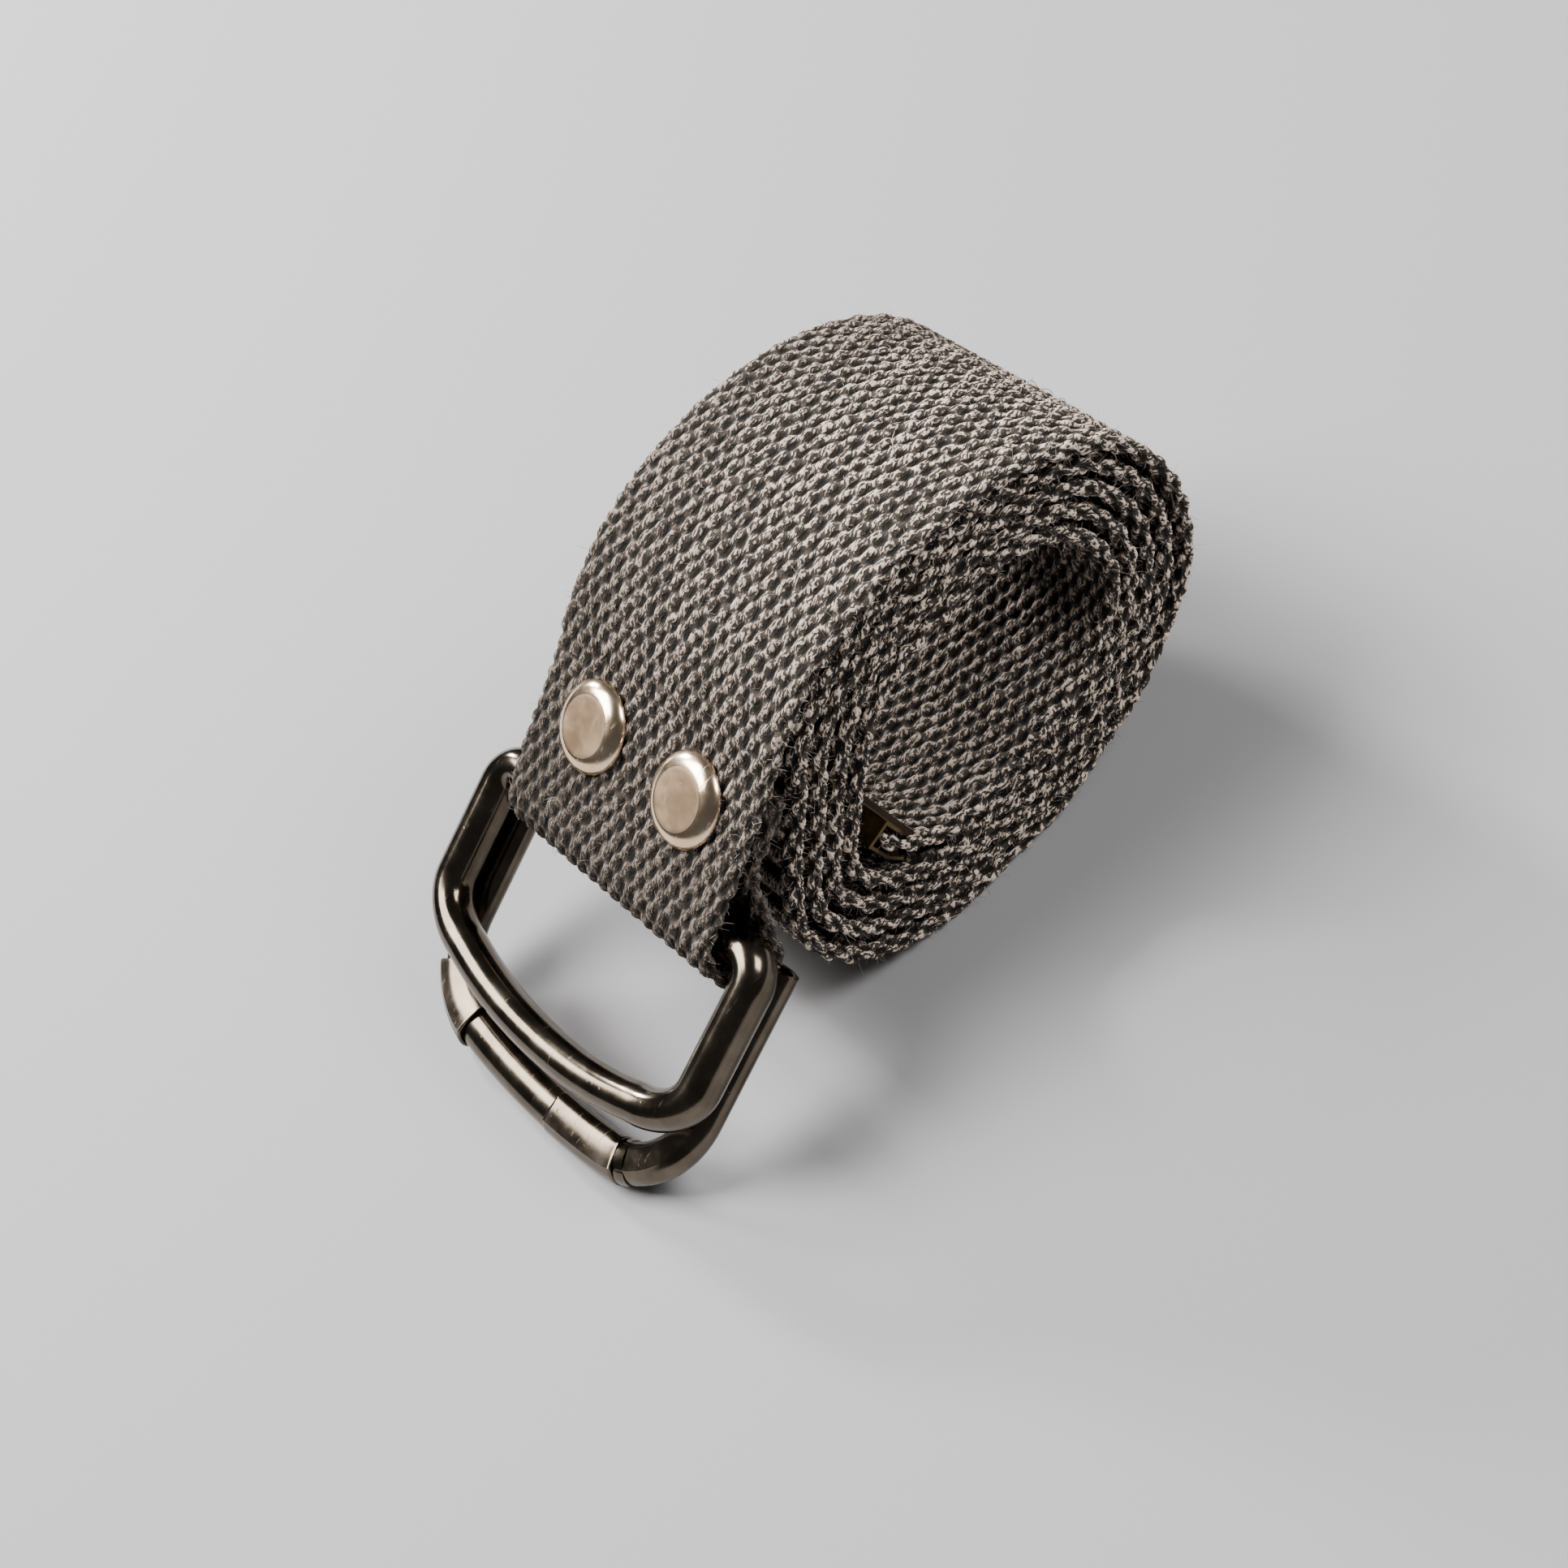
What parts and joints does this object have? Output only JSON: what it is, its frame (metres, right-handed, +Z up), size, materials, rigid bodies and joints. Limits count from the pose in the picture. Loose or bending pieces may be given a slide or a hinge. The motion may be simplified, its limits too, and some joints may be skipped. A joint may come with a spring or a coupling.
{
  "type": "double ring belt",
  "caption": "Wide dark webbing belt, rolled up, with a double ring buckle held in a riveted loop and a metal tip on its end.",
  "frame": {"origin": "middle of the footprint's box, on the surface that the rolled belt rests on", "axes": "+X across the webbing along the roll's axis, +Y from the rings to the back of the roll, +Z up"},
  "size_m": [0.053, 0.0964, 0.0508],
  "materials": {
    "webbing": "coarse plain weave, matt, slightly hairy",
    "gunmetal": "glossy dark gunmetal plating",
    "pale_gold": "polished pale gold, lightly worn",
    "brass": "polished"
  },
  "bodies": {
    "rolled_strap": {"strap": "webbing", "tail_tip": "brass", "rivet_left": "pale_gold", "rivet_right": "pale_gold"},
    "front_ring": {"front_ring": "gunmetal"},
    "back_frame": {"back_frame": "gunmetal", "back_bar": "gunmetal", "left_tab": "gunmetal", "right_tab": "gunmetal"}
  },
  "joints": [
    {"name": "front_ring_swing", "type": "hinge", "parent": "rolled_strap", "child": "front_ring", "pos_m": [0, -0.02166, 0.0227], "axis": [-1, 0, 0], "range_deg": [0, 140]},
    {"name": "back_frame_swing", "type": "hinge", "parent": "rolled_strap", "child": "back_frame", "pos_m": [0, -0.02128, 0.01726], "axis": [1, 0, 0], "range_deg": [0, 12]}
  ]
}
